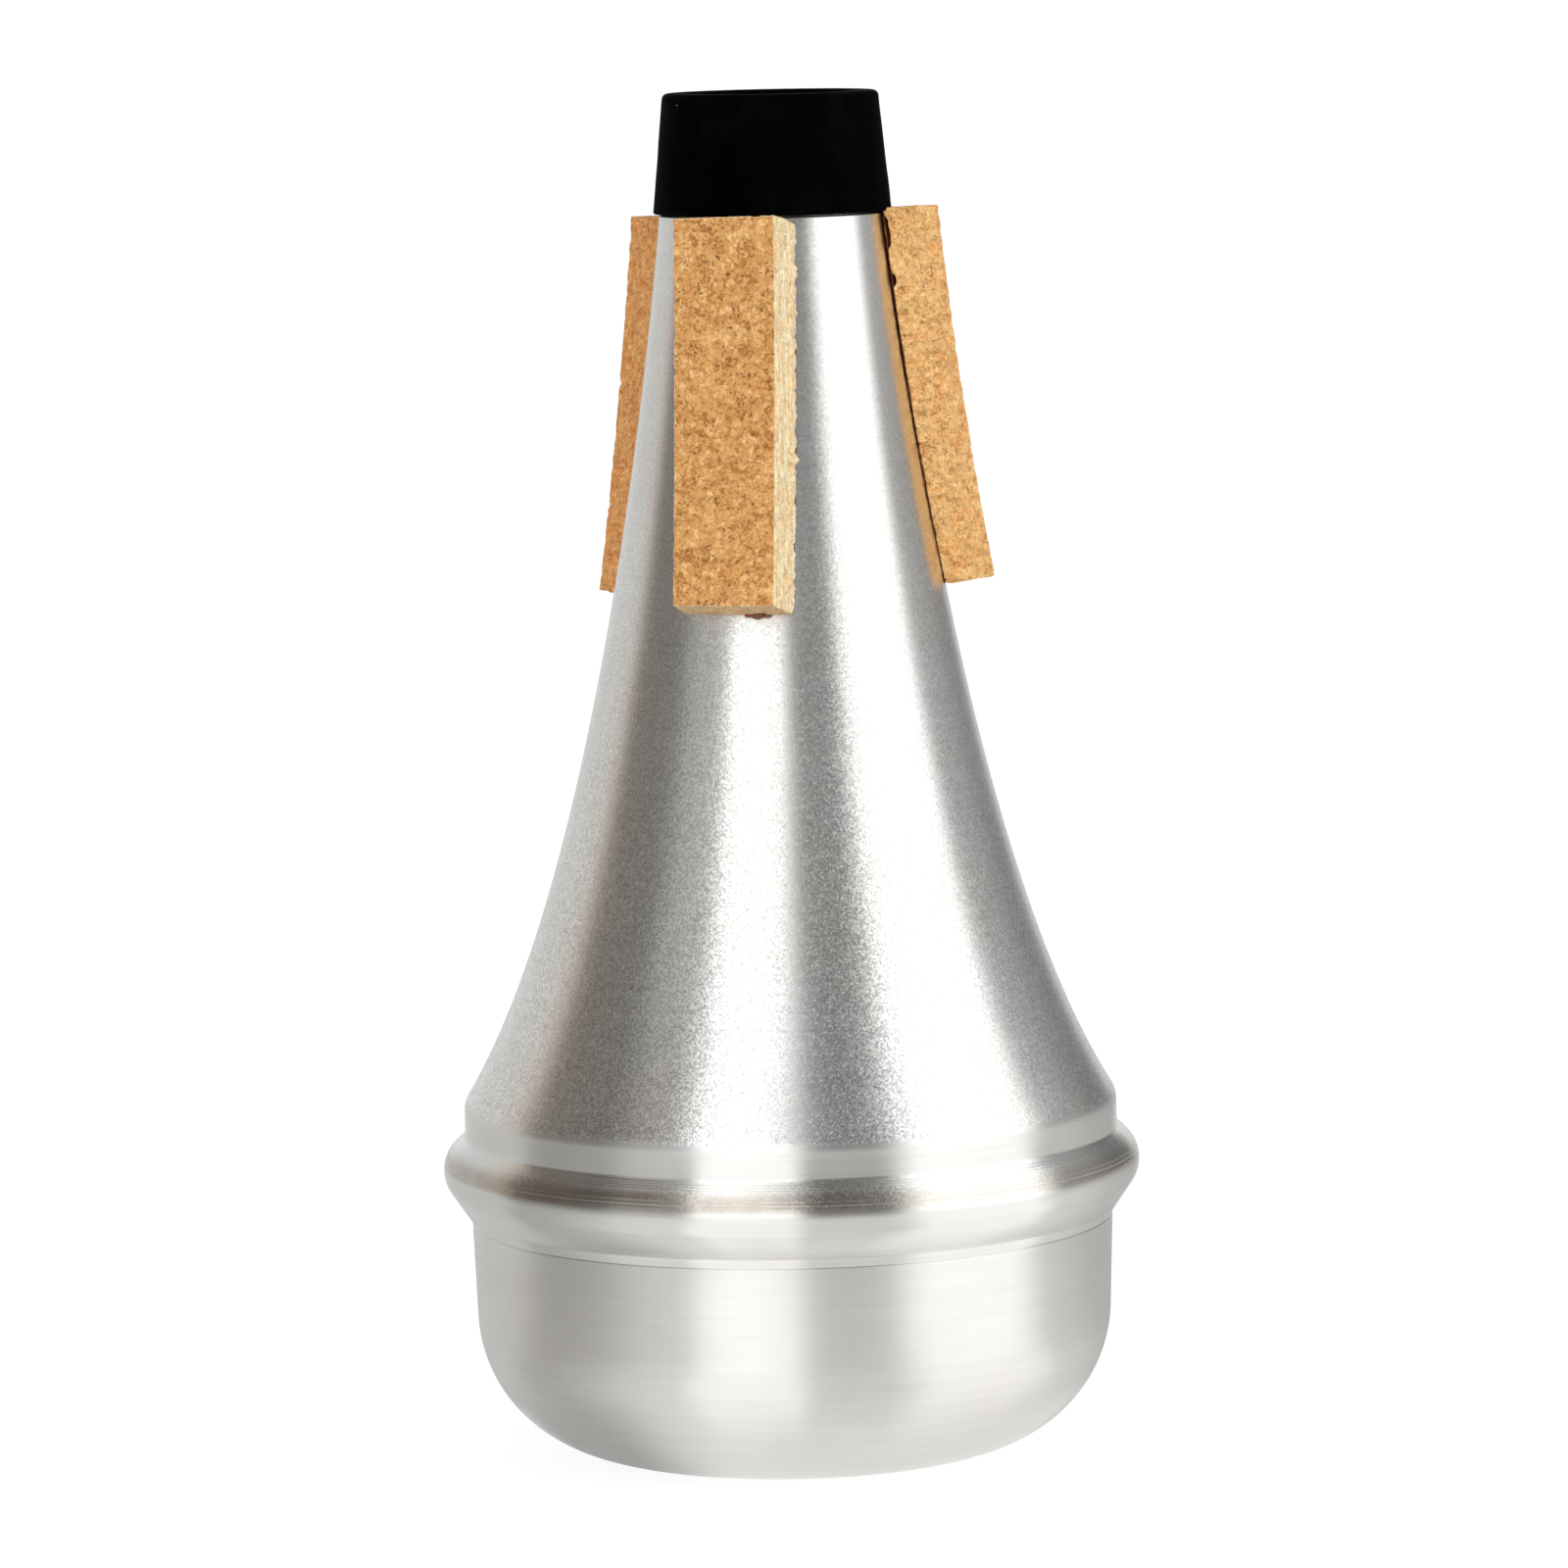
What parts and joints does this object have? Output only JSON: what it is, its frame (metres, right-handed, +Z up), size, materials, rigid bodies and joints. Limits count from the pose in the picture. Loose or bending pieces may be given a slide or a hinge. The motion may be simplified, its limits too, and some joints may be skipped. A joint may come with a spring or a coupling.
{
  "type": "trumpet straight mute",
  "caption": "Flared spun-aluminium trumpet mute: closed cup base joined by a rolled bead, cork strips round the open small end and a rubber tip.",
  "frame": {"origin": "middle of the flat base, on the surface that the mute stands on", "axes": "+Z up along the turned axis, from the closed base to the open small end; -Y is the side that the picture was taken from and +X is on its right"},
  "size_m": [0.09, 0.09, 0.175],
  "materials": {
    "spun_aluminium": "satin, brushed round the axis by the spinning lathe, with a fine grain",
    "drawn_aluminium": "satin, brushed round the axis",
    "black_rubber": "matt",
    "pressed_cork": "raw pressed cork granules with dark flecks",
    "contact_adhesive": "dried brown contact adhesive, slightly glossy"
  },
  "bodies": {
    "root": {"base_cup": "drawn_aluminium", "cone_shell": "spun_aluminium", "rubber_tip": "black_rubber", "cork_strip_front": "pressed_cork", "cork_strip_right": "pressed_cork", "cork_strip_left": "pressed_cork", "glue_film_front": "contact_adhesive", "glue_film_right": "contact_adhesive", "glue_film_left": "contact_adhesive"}
  },
  "joints": []
}
